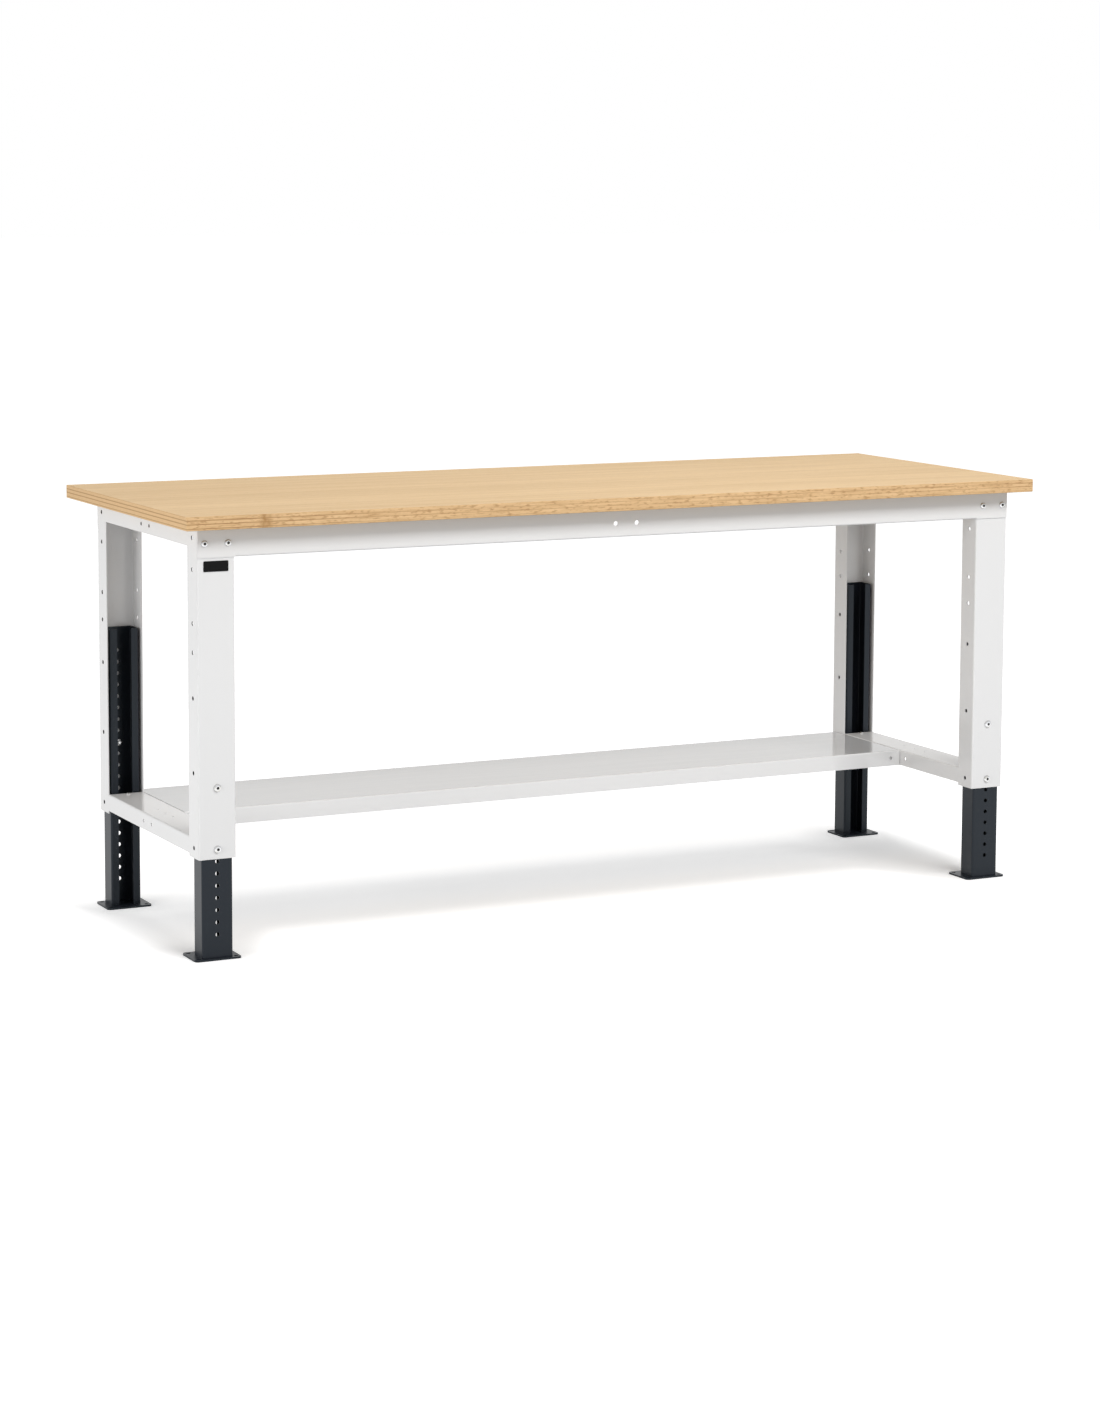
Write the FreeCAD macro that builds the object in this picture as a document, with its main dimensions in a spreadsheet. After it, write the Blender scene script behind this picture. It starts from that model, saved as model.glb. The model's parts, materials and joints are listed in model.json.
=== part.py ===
import FreeCAD, Part
import math
import os
import re
import Sketcher

# Height-adjustable workbench: a plywood worktop on a folded-steel frame with four telescopic legs.
# Millimetres, +X along the length to the right, +Y to the back, +Z up, origin on the floor under
# the middle of the worktop.

# Driving dimensions, one sheet cell each.
SIZES = {
    # Worktop and whole bench
    "worktop_length": 2000,
    "worktop_depth": 740,
    "worktop_thickness": 28,
    "worktop_edge_radius": 1.5,
    "bench_height": 905,
    # Frame: how far the legs stand back from the worktop's ends, front and back
    "end_setback": 38,
    "front_setback": 46,
    "back_setback": 92,
    "frame_sheet": 2,
    "frame_bend": 2,
    # Outer legs, open channels with holes for accessories along both flanges
    "leg_width": 80,
    "leg_depth": 55,
    "leg_length": 670,
    "flange_hole": 9,
    # Inner legs, lipped channels that slide in the outer ones
    "tube_width": 66,
    "tube_depth": 48,
    "tube_lip": 17,
    "tube_sheet": 2.5,
    "tube_bend": 2,
    "tube_length": 600,
    "slide_gap": 0.3,
    # Row of height holes, and how far up the outer leg the lower lock screw sits
    "hole_pitch": 25,
    "hole_start": 48,
    "hole_end_margin": 40,
    "lock_margin": 20,
    # Base plates
    "plate_width": 100,
    "plate_depth": 80,
    "plate_thickness": 4,
    "plate_corner": 8,
    "plate_toe": 7,
    "plate_hole": 9,
    "plate_hole_edge": 10,
    # Front and rear beams
    "beam_height": 60,
    "beam_top_flange": 35,
    "beam_bottom_flange": 15,
    "beam_end_inset": 1,
    "beam_leg_gap": 1,
    "beam_screw_drop": 31,
    "beam_screw_spacing": 50,
    "beam_hole": 10,
    "beam_hole_spacing": 50,
    "beam_wood_screw_reach": 25,
    # Side rails
    "upper_rail_height": 40,
    "upper_rail_hole_drop": 22,
    "lower_rail_height": 35,
    "lower_rail_rise": 41,
    "lower_rail_hole_drop": 17,
    "rail_hole": 8,
    "rail_hole_spacing": 48,
    "rail_top_hole": 5,
    "rail_top_hole_spacing": 45,
    "rail_screw_inset": 12,
    # Brackets in the mouths of the outer legs that carry the lower rails
    "bracket_sheet": 3,
    "bracket_bend": 1.5,
    "bracket_height": 28,
    "bracket_leaf": 30,
    # Shelf tray between the lower rails
    "shelf_depth": 286,
    "shelf_front_reach": 3,
    "shelf_height": 35,
    "shelf_sheet": 1.5,
    "shelf_bend": 1.5,
    "shelf_gap": 0.3,
    "shelf_hole": 8,
    "shelf_hole_inset": 25,
    "shelf_screw_setback": 70,
    # Large machine screws, which join the beams to the legs and lock the inner legs
    "large_shank": 8,
    "large_clearance": 1,
    "large_screw_length": 16,
    "large_head_height": 4.4,
    "large_socket": 5,
    "large_socket_depth": 3,
    "large_nut_width": 13,
    "large_nut_height": 6.5,
    "beam_head": 14,
    "lock_head": 16,
    # Small machine screws, which hold the lower rails and the shelf
    "small_shank": 6,
    "small_clearance": 1,
    "small_screw_length": 12,
    "small_head": 10.5,
    "small_head_height": 3.3,
    "small_socket": 4,
    "small_socket_depth": 2,
    "small_nut_width": 10,
    "small_nut_height": 5,
    # Wood screws, which hold the worktop down from below
    "wood_shank": 5,
    "wood_clearance": 1,
    "wood_screw_length": 20,
    "wood_tip": 5,
    "wood_head": 10,
    "wood_head_height": 3,
    "wood_socket": 3,
    "wood_socket_depth": 1.5,
    "pilot_gap": 0.2,
    # How far a cutting tool runs past the faces that it cuts
    "overrun": 1,
}

# Places and sizes that follow from the driving ones.
DERIVED = {
    "frame_length": "worktop_length - 2 * end_setback",
    "frame_top": "bench_height - worktop_thickness",
    "leg_bottom": "frame_top - leg_length",
    "leg_front": "front_setback - worktop_depth / 2",
    "leg_back": "worktop_depth / 2 - back_setback",
    "leg_middle": "(frame_length - leg_width) / 2",
    "frame_middle": "(leg_front + leg_back) / 2",
    "rail_length": "leg_back - leg_front - 2 * leg_depth",
    "rail_top": "leg_bottom + lower_rail_rise",
    "tube_web": "frame_sheet + slide_gap",
    "first_hole": "plate_thickness + hole_start",
    "hole_steps": "floor((tube_length - hole_start - hole_end_margin) / hole_pitch)",
    "lock_step": "round((leg_bottom + lock_margin - first_hole) / hole_pitch)",
    "lock_low": "first_hole + hole_pitch * lock_step",
    "lock_high": "lock_low + hole_pitch * LOCK_SPAN_STEPS",
    "large_hole": "large_shank + large_clearance",
    "small_hole": "small_shank + small_clearance",
    "beam_span": "frame_length - 2 * leg_width - 2 * beam_leg_gap",
    "beam_reach": "frame_length / 2 - beam_end_inset",
    "bracket_top": "lower_rail_rise - frame_sheet",
    "shelf_half": "leg_middle - leg_width / 2 - shelf_gap",
    "shelf_front": "frame_middle - shelf_front_reach",
    "shelf_back": "shelf_front + shelf_depth",
    "shelf_screw_front": "rail_hole_spacing / 2",
    "shelf_screw_back": "rail_length / 2 - shelf_screw_setback",
}

# The two lock screws of a leg are this many hole pitches apart.
COUNTS = {"LOCK_SPAN_STEPS": 5}

# Heights of the accessory holes as shares of the outer leg's length.
FLANGE_HOLE_SHARES = (0.031, 0.259, 0.485, 0.623, 0.711, 0.873, 0.968)
# Places of the worktop's screws as shares of the beam's span and of the side rail's length.
BEAM_WOOD_SCREW_SHARES = (-0.45, -0.15, 0.15, 0.45)
RAIL_WOOD_SCREW_SHARES = (-0.3, 0.3)
# Rounding of a screw head's rim as a share of the head's height.
HEAD_DOME_SHARE = 0.8

# Sides of the bench along X, and each leg's side with the way that its open channel faces along Y.
SIDES = {"left": -1, "right": 1}
CORNERS = {
    "front_left": (-1, 1),
    "front_right": (1, 1),
    "back_left": (-1, -1),
    "back_right": (1, -1),
}

HALF_TURN = 180
QUARTER_TURN = 90
AXIS_X = FreeCAD.Vector(1, 0, 0)
AXIS_Y = FreeCAD.Vector(0, 1, 0)
AXIS_Z = FreeCAD.Vector(0, 0, 1)
# Two directions count as the same when one reaches this share of the other's length along it.
PARALLEL_SHARE = 0.999

doc = FreeCAD.newDocument("workbench")


def make_sheet():
    """Writes each driving dimension to a cell of its own with its name as alias."""
    sheet = doc.addObject("Spreadsheet::Sheet", "Sizes")
    for row, (alias, number) in enumerate(SIZES.items(), 1):
        sheet.set(f"A{row}", alias)
        sheet.set(f"B{row}", str(number))
        sheet.setAlias(f"B{row}", alias)
    doc.recompute()


def formula(text):
    """Writes a formula of size names as an expression on the sheet's cells."""

    def expand(match):
        word = match.group(0)
        if word in SIZES:
            return f"Sizes.{word}"
        if word in DERIVED:
            return f"({formula(DERIVED[word])})"
        return str(COUNTS.get(word, word))

    return re.sub(r"[A-Za-z_]+", expand, text)


def bind(item, **properties):
    """Binds properties of a document object to formulas."""
    for name, text in properties.items():
        item.setExpression(name, formula(text))


def place(item, x="0", y="0", z="0", axis=AXIS_Z, turn=0):
    """Turns a piece about an axis and binds its place to formulas."""
    item.Placement.Rotation = FreeCAD.Rotation(axis, turn)
    for letter, text in zip("xyz", (x, y, z)):
        item.setExpression(f"Placement.Base.{letter}", formula(text))


def make_body(label):
    """Adds an empty body."""
    return doc.addObject("PartDesign::Body", label)


def sketch_on(body, role, lift="0"):
    """Adds a sketch on one of the body's own planes, lifted along the plane's normal."""
    sketch = body.newObject("Sketcher::SketchObject", f"{body.Name}_sketch")
    plane = next(item for item in body.Origin.OriginFeatures if item.Role == role)
    sketch.AttachmentSupport = [(plane, "")]
    sketch.MapMode = "FlatFace"
    sketch.setExpression("AttachmentOffset.Base.z", formula(lift))
    return sketch


def dimension(sketch, text, *constraint):
    """Adds a named constraint whose value follows a formula."""
    index = sketch.addConstraint(Sketcher.Constraint(*constraint))
    name = f"size_{index}"
    sketch.renameConstraint(index, name)
    sketch.setExpression(f"Constraints.{name}", formula(text))


def fix_point(sketch, element, end, x, y, start):
    """Fixes one end of a sketch element at formulas measured from the sketch's origin."""
    dimension(sketch, x, "DistanceX", -1, 1, element, end, start.x)
    dimension(sketch, y, "DistanceY", -1, 1, element, end, start.y)


def draw_outline(sketch, points):
    """Draws a closed outline of straight lines through points given as formulas.

    The lines start as a regular polygon on the unit circle, and the constraints move them.
    """
    turns = [2 * math.pi * number / len(points) for number in range(len(points))]
    starts = [FreeCAD.Vector(math.cos(turn), math.sin(turn), 0) for turn in turns]
    lines = [
        sketch.addGeometry(Part.LineSegment(start, starts[number - len(points) + 1]), False)
        for number, start in enumerate(starts)
    ]
    for number, line in enumerate(lines):
        following = lines[number - len(points) + 1]
        sketch.addConstraint(Sketcher.Constraint("Coincident", line, 2, following, 1))
    for line, (x, y), start in zip(lines, points, starts):
        fix_point(sketch, line, 1, x, y, start)
    return sketch


def draw_rectangle(sketch, left, bottom, right, top):
    """Draws a rectangle between four formulas."""
    return draw_outline(sketch, [(left, bottom), (right, bottom), (right, top), (left, top)])


def draw_circles(sketch, centres, diameter):
    """Draws equal circles about centres given as formulas."""
    for number, (x, y) in enumerate(centres):
        start = FreeCAD.Vector(number, number, 0)
        circle = sketch.addGeometry(Part.Circle(start, AXIS_Z, 1), False)
        fix_point(sketch, circle, 3, x, y, start)
        dimension(sketch, diameter, "Diameter", circle, 2)
    return sketch


def pad(body, sketch, length, centred=False, backwards=False):
    """Extrudes a sketch along its normal, or half each way where it is centred."""
    feature = body.newObject("PartDesign::Pad", f"{body.Name}_pad")
    feature.Profile = sketch
    feature.SideType = "Symmetric" if centred else "One side"
    feature.Reversed = backwards
    bind(feature, Length=length)
    doc.recompute()
    return feature


def cut(body, sketch, depth=None, centred=True, forwards=False):
    """Cuts a sketch's outline out of the body, right through or to a depth, and proves that it cut."""
    before = body.Shape.Volume
    feature = body.newObject("PartDesign::Pocket", f"{body.Name}_cut")
    feature.Profile = sketch
    feature.SideType = "Symmetric" if centred else "One side"
    feature.Reversed = forwards
    if depth is None:
        feature.Type = "ThroughAll"
    else:
        bind(feature, Length=depth)
    doc.recompute()
    if not body.Shape.Volume < before:
        raise ValueError(f"a cut in {body.Label} takes nothing away")
    return feature


def drill(body, role, centres, diameter, **way):
    """Drills equal holes square to one of the body's planes."""
    return cut(body, draw_circles(sketch_on(body, role), centres, diameter), **way)


def corner_edges(shape, sketch, corners=None):
    """Names the edges of a shape that rise square from a sketch's corners, or from some by number."""
    normal = sketch.Placement.Rotation.multVec(AXIS_Z)
    names = []
    for corner in range(sketch.GeometryCount) if corners is None else corners:
        point = Part.Vertex(sketch.Placement.multVec(sketch.Geometry[corner].StartPoint))
        for number, edge in enumerate(shape.Edges, 1):
            straight = not edge.Degenerated and isinstance(edge.Curve, Part.Line)
            if straight and abs(edge.Curve.Direction.dot(normal)) > PARALLEL_SHARE:
                if edge.distToShape(point)[0] < edge.Tolerance:
                    names.append(f"Edge{number}")
    return names


def face_edges(shape, normal):
    """Names the edges that bound a shape's highest face with the given normal."""
    faces = [face for face in shape.Faces if face.normalAt(0, 0).dot(normal) > PARALLEL_SHARE]
    highest = max(faces, key=lambda face: face.CenterOfMass.z)
    return [
        f"Edge{number}"
        for number, edge in enumerate(shape.Edges, 1)
        if any(edge.isSame(rim) for rim in highest.Edges)
    ]


def round_edges(body, base, names, radius):
    """Rounds named edges of the body's last feature."""
    feature = body.newObject("PartDesign::Fillet", f"{body.Name}_round")
    feature.Base = (base, names)
    bind(feature, Radius=radius)
    doc.recompute()
    return feature


def fold(body, base, outline, outer, inner, sheet, bend):
    """Rounds a folded sheet's bends at the points of its outline that lie outside and inside them."""
    sketch = base.Profile[0]
    convex = corner_edges(base.Shape, sketch, [outline.index(point) for point in outer])
    outside = round_edges(body, base, convex, f"{bend} + {sheet}")
    concave = corner_edges(outside.Shape, sketch, [outline.index(point) for point in inner])
    round_edges(body, outside, concave, bend)


def mirror(points):
    """Lists the points of half an outline on its other side, in the order that closes it."""
    return [(f"-({x})", y) for x, y in reversed(points)]


def make_worktop():
    """Makes the plywood worktop with blind pilot holes for its screws in the underside."""
    body = make_body("worktop")
    outline = draw_rectangle(
        sketch_on(body, "XY_Plane", "frame_top"),
        "-worktop_length / 2", "-worktop_depth / 2", "worktop_length / 2", "worktop_depth / 2",
    )
    board = pad(body, outline, "worktop_thickness")
    edges = [f"Edge{number}" for number in range(1, len(board.Shape.Edges) + 1)]
    round_edges(body, board, edges, "worktop_edge_radius")
    pilots = draw_circles(
        sketch_on(body, "XY_Plane", "frame_top"), worktop_screw_places(), "wood_shank + 2 * pilot_gap"
    )
    cut(body, pilots, "wood_screw_length - frame_sheet + pilot_gap", centred=False, forwards=True)
    return body


def worktop_screw_places():
    """Lists the X and Y formulas of the screws that hold the worktop to the beams and side rails."""
    places = []
    for share in BEAM_WOOD_SCREW_SHARES:
        places.append((f"{share} * beam_span", "leg_front + beam_wood_screw_reach"))
        places.append((f"{share} * beam_span", "leg_back - beam_wood_screw_reach"))
    for side in SIDES.values():
        for share in RAIL_WOOD_SCREW_SHARES:
            places.append((f"{side} * leg_middle", f"frame_middle + {share} * rail_length"))
    return places


def at_corner(item, corner, depth="0", z="0"):
    """Places a piece of a leg: local Y runs from the outer leg's web to its open side."""
    side, facing = CORNERS[corner]
    web = f"leg_front + {depth}" if facing > 0 else f"leg_back - ({depth})"
    place(item, f"{side} * leg_middle", web, z, turn=0 if facing > 0 else HALF_TURN)


def make_outer_leg(corner):
    """Makes one white outer leg, a folded channel with its web outwards."""
    body = make_body(f"outer_leg_{corner}")
    right = "leg_width / 2"
    wall = "leg_width / 2 - frame_sheet"
    outer = (right, "0")
    inner = (wall, "frame_sheet")
    half = [outer, (right, "leg_depth"), (wall, "leg_depth"), inner]
    outline = half + mirror(half)
    channel = pad(body, draw_outline(sketch_on(body, "XY_Plane"), outline), "leg_length")
    bends = mirror([outer]) + [outer], mirror([inner]) + [inner]
    fold(body, channel, outline, *bends, "frame_sheet", "frame_bend")
    heights = [("leg_depth / 2", f"{share} * leg_length") for share in FLANGE_HOLE_SHARES]
    drill(body, "YZ_Plane", heights, "flange_hole")
    screws = [("0", f"{height} - leg_bottom") for height in ("lock_low", "lock_high")]
    screws += [
        (f"{way} * beam_screw_spacing / 2", "leg_length - beam_screw_drop") for way in SIDES.values()
    ]
    drill(body, "XZ_Plane", screws, "large_hole")
    at_corner(body, corner, z="leg_bottom")
    return body


def make_inner_leg(corner):
    """Makes one dark inner leg, a lipped channel with a row of height holes up its web."""
    body = make_body(f"inner_leg_{corner}")
    right = "tube_width / 2"
    wall = "tube_width / 2 - tube_sheet"
    lip = "tube_width / 2 - tube_lip"
    outer = [(right, "0"), (right, "tube_depth")]
    inner = [(wall, "tube_depth - tube_sheet"), (wall, "tube_sheet")]
    half = outer + [(lip, "tube_depth"), (lip, "tube_depth - tube_sheet")] + inner
    outline = half + mirror(half)
    channel = pad(body, draw_outline(sketch_on(body, "XY_Plane"), outline), "tube_length")
    bends = outer + mirror(outer), inner + mirror(inner)
    fold(body, channel, outline, *bends, "tube_sheet", "tube_bend")
    hole = drill(body, "XZ_Plane", [("0", "hole_start")], "large_hole")
    row = body.newObject("PartDesign::LinearPattern", f"{body.Name}_row")
    row.Originals = [hole]
    row.Direction = (hole.Profile[0], ["V_Axis"])
    bind(row, Length="hole_pitch * hole_steps", Occurrences="hole_steps + 1")
    body.Tip = row
    at_corner(body, corner, "tube_web", "plate_thickness")
    return body


def make_base_plate(corner):
    """Makes the plate under one inner leg, with a floor-fixing hole in each corner."""
    body = make_body(f"base_plate_{corner}")
    right = "plate_width / 2"
    heel = "plate_depth - plate_toe"
    outline = draw_rectangle(
        sketch_on(body, "XY_Plane"), f"-({right})", "-plate_toe", right, heel
    )
    plate = pad(body, outline, "plate_thickness")
    round_edges(body, plate, corner_edges(plate.Shape, outline), "plate_corner")
    across = "plate_width / 2 - plate_hole_edge"
    rows = ("plate_hole_edge - plate_toe", f"{heel} - plate_hole_edge")
    holes = [(f"{side} * ({across})", row) for side in SIDES.values() for row in rows]
    drill(body, "XY_Plane", holes, "plate_hole")
    at_corner(body, corner, "tube_web")
    return body


def make_rail_bracket(corner):
    """Makes the angle welded in one outer leg's mouth, on which the lower side rail is screwed."""
    body = make_body(f"rail_bracket_{corner}")
    outer = ("leg_depth - bracket_sheet", "bracket_top")
    inner = ("leg_depth", "bracket_top - bracket_sheet")
    outline = [
        ("leg_depth - bracket_sheet", "bracket_top - bracket_height"),
        ("leg_depth", "bracket_top - bracket_height"),
        inner,
        ("leg_depth + bracket_leaf", "bracket_top - bracket_sheet"),
        ("leg_depth + bracket_leaf", "bracket_top"),
        outer,
    ]
    profile = draw_outline(sketch_on(body, "YZ_Plane"), outline)
    angle = pad(body, profile, "leg_width - 2 * frame_sheet", centred=True)
    fold(body, angle, outline, [outer], [inner], "bracket_sheet", "bracket_bend")
    # The leaf is narrower than the leg's mouth, so that it clears the bends inside the rail.
    trim = sketch_on(body, "XY_Plane")
    for side in SIDES.values():
        draw_rectangle(
            trim,
            f"{side} * (leg_width / 2 - frame_sheet - frame_bend)", "leg_depth",
            f"{side} * leg_width / 2", "leg_depth + bracket_leaf + overrun",
        )
    cut(body, trim)
    drill(body, "XY_Plane", [("0", "leg_depth + rail_screw_inset")], "small_hole")
    at_corner(body, corner, z="leg_bottom")
    return body


def make_beam(label, facing):
    """Makes the front or rear beam: a folded channel between the legs, its web lapping over them."""
    body = make_body(label)
    outer = [("-frame_sheet", "0"), ("-frame_sheet", "-beam_height")]
    inner = [("0", "frame_sheet - beam_height"), ("0", "-frame_sheet")]
    bottom = [("beam_bottom_flange", "-beam_height"), ("beam_bottom_flange", "frame_sheet - beam_height")]
    top = [("beam_top_flange", "-frame_sheet"), ("beam_top_flange", "0")]
    outline = outer + bottom + inner + top
    channel = pad(body, draw_outline(sketch_on(body, "YZ_Plane"), outline), "beam_span", centred=True)
    fold(body, channel, outline, outer, inner, "frame_sheet", "frame_bend")
    for side in SIDES.values():
        lap = draw_rectangle(
            sketch_on(body, "XZ_Plane"),
            f"{side} * beam_span / 2", "-beam_height", f"{side} * beam_reach", "0",
        )
        pad(body, lap, "frame_sheet")
    screws = [
        (f"{side} * leg_middle + {way} * beam_screw_spacing / 2", "-beam_screw_drop")
        for side in SIDES.values()
        for way in SIDES.values()
    ]
    drill(body, "XZ_Plane", screws, "large_hole")
    pair = [(f"{side} * beam_hole_spacing / 2", "-beam_screw_drop") for side in SIDES.values()]
    drill(body, "XZ_Plane", pair, "beam_hole")
    wood = [(f"{share} * beam_span", "beam_wood_screw_reach") for share in BEAM_WOOD_SCREW_SHARES]
    drill(body, "XY_Plane", wood, "wood_shank + wood_clearance")
    if facing > 0:
        place(body, y="leg_front", z="frame_top")
    else:
        place(body, y="leg_back", z="frame_top", turn=HALF_TURN)
    return body


def make_rail(label, height):
    """Makes a side rail's channel, open downwards, between the front and back legs."""
    body = make_body(label)
    right = "leg_width / 2"
    wall = "leg_width / 2 - frame_sheet"
    outer = (right, "0")
    inner = (wall, "-frame_sheet")
    half = [outer, (right, f"-{height}"), (wall, f"-{height}"), inner]
    outline = half + mirror(half)
    channel = pad(body, draw_outline(sketch_on(body, "XZ_Plane"), outline), "rail_length", centred=True)
    bends = mirror([outer]) + [outer], mirror([inner]) + [inner]
    fold(body, channel, outline, *bends, "frame_sheet", "frame_bend")
    return body


def make_upper_rail(name, side):
    """Makes one side rail under the worktop, screwed up into it."""
    body = make_rail(f"upper_side_rail_{name}", "upper_rail_height")
    pair = [(f"{way} * rail_hole_spacing / 2", "-upper_rail_hole_drop") for way in SIDES.values()]
    drill(body, "YZ_Plane", pair, "rail_hole")
    wood = [("0", f"{share} * rail_length") for share in RAIL_WOOD_SCREW_SHARES]
    drill(body, "XY_Plane", wood, "wood_shank + wood_clearance")
    place(body, f"{side} * leg_middle", "frame_middle", "frame_top")
    return body


def make_lower_rail(name, side):
    """Makes one side rail at shelf height, screwed to its brackets and to the shelf's end."""
    body = make_rail(f"lower_side_rail_{name}", "lower_rail_height")
    pair = [(f"{way} * rail_hole_spacing / 2", "-lower_rail_hole_drop") for way in SIDES.values()]
    drill(body, "YZ_Plane", pair, "rail_hole")
    back = [("shelf_screw_back", "-lower_rail_hole_drop")]
    drill(body, "YZ_Plane", back, "small_hole", centred=False, forwards=side < 0)
    row = [("0", f"{step} * rail_top_hole_spacing") for step in (-1, 0, 1)]
    drill(body, "XY_Plane", row, "rail_top_hole")
    ends = [("0", f"{way} * (rail_length / 2 - rail_screw_inset)") for way in SIDES.values()]
    drill(body, "XY_Plane", ends, "small_hole")
    place(body, f"{side} * leg_middle", "frame_middle", "rail_top")
    return body


def make_shelf():
    """Makes the shelf, a sheet tray with its edges folded down, flush with the lower rails."""
    body = make_body("shelf")
    outline = draw_rectangle(
        sketch_on(body, "XY_Plane", "rail_top"),
        "-shelf_half", "shelf_front", "shelf_half", "shelf_back",
    )
    block = pad(body, outline, "shelf_height", backwards=True)
    outside = corner_edges(block.Shape, outline) + face_edges(block.Shape, AXIS_Z)
    round_edges(body, block, outside, "shelf_bend + shelf_sheet")
    wall = "shelf_half - shelf_sheet"
    hollow = draw_rectangle(
        sketch_on(body, "XY_Plane", "rail_top - shelf_sheet"),
        f"-({wall})", "shelf_front + shelf_sheet", wall, "shelf_back - shelf_sheet",
    )
    tray = cut(body, hollow, centred=False)
    inside = corner_edges(tray.Shape, hollow) + face_edges(tray.Shape, -AXIS_Z)
    round_edges(body, tray, inside, "shelf_bend")
    drop = "rail_top - lower_rail_hole_drop"
    ends = [(f"{side} * (shelf_half - shelf_hole_inset)", drop) for side in SIDES.values()]
    drill(body, "XZ_Plane", ends, "shelf_hole")
    screws = [(f"frame_middle + {place}", drop) for place in ("shelf_screw_front", "shelf_screw_back")]
    drill(body, "YZ_Plane", screws, "small_hole")
    return body


def make_screw(label, shank, length, head, head_height, socket, socket_depth, tip="0"):
    """Makes a domed screw with a hexagon socket: head up from the origin, shank down."""
    body = make_body(label)
    profile = draw_outline(
        sketch_on(body, "XZ_Plane"),
        [
            ("0", f"-{length}"),
            (f"{shank} / 2", f"{tip} - {length}"),
            (f"{shank} / 2", "0"),
            (f"{head} / 2", "0"),
            (f"{head} / 2", head_height),
            ("0", head_height),
        ],
    )
    turned = body.newObject("PartDesign::Revolution", f"{label}_turned")
    turned.Profile = profile
    turned.ReferenceAxis = (profile, ["V_Axis"])
    doc.recompute()
    rim = face_edges(turned.Shape, AXIS_Z)
    round_edges(body, turned, rim, f"{HEAD_DOME_SHARE} * {head_height}")
    corners = [
        (f"{socket} / sqrt(3) * cos({turn})", f"{socket} / sqrt(3) * sin({turn})")
        for turn in range(0, 2 * HALF_TURN, HALF_TURN // 3)
    ]
    hexagon = draw_outline(sketch_on(body, "XY_Plane", head_height), corners)
    cut(body, hexagon, socket_depth, centred=False)
    return body


def make_nut(label, width, height, bore):
    """Makes a plain hexagon nut that hangs down from the origin."""
    hexagon = doc.addObject("Part::Prism", f"{label}_hexagon")
    bind(hexagon, Circumradius=f"{width} / sqrt(3)", Height=height)
    place(hexagon, z=f"-{height}")
    hole = doc.addObject("Part::Cylinder", f"{label}_bore")
    bind(hole, Radius=f"{bore} / 2", Height=f"{height} + 2 * overrun")
    place(hole, z=f"-{height} - overrun")
    nut = doc.addObject("Part::Cut", label)
    nut.Base = hexagon
    nut.Tool = hole
    return nut


def group(label, master, places):
    """Groups copies of one fastener, each at its own place and turn."""
    copies = []
    for x, y, z, axis, turn in places:
        copy = doc.addObject("App::Link", f"{label}_copy")
        copy.LinkedObject = master
        place(copy, x, y, z, axis, turn)
        copies.append(copy)
    compound = doc.addObject("Part::Compound", label)
    compound.Links = copies
    return compound


def leg_faces(depth):
    """Gives for each leg its X, the Y at a depth behind its web's face, and the turn of a screw there."""
    for side, facing in CORNERS.values():
        y = f"leg_front + {depth}" if facing > 0 else f"leg_back - ({depth})"
        yield f"{side} * leg_middle", y, facing * QUARTER_TURN


def beam_fastener_places(depth):
    """Lists the two places on each leg where a beam is bolted, at a depth behind the leg's face."""
    return [
        (f"{x} + {way} * beam_screw_spacing / 2", y, "frame_top - beam_screw_drop", AXIS_X, turn)
        for x, y, turn in leg_faces(depth)
        for way in SIDES.values()
    ]


def lock_fastener_places(depth):
    """Lists the two places on each leg where its inner leg is locked."""
    return [
        (x, y, height, AXIS_X, turn)
        for x, y, turn in leg_faces(depth)
        for height in ("lock_low", "lock_high")
    ]


def rail_fastener_places(drop):
    """Lists the places at both ends of the lower rails, at a drop below their top."""
    reach = "(rail_length / 2 - rail_screw_inset)"
    return [
        (f"{side} * leg_middle", f"frame_middle + {way} * {reach}", f"rail_top - {drop}", AXIS_Z, 0)
        for side in SIDES.values()
        for way in SIDES.values()
    ]


def shelf_fastener_places(across):
    """Lists the places where the shelf's ends are bolted to the rails, at a distance from the middle."""
    return [
        (
            f"{side} * ({across})",
            f"frame_middle + {along}",
            "rail_top - lower_rail_hole_drop",
            AXIS_Y,
            -side * QUARTER_TURN,
        )
        for side in SIDES.values()
        for along in ("shelf_screw_front", "shelf_screw_back")
    ]


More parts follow.
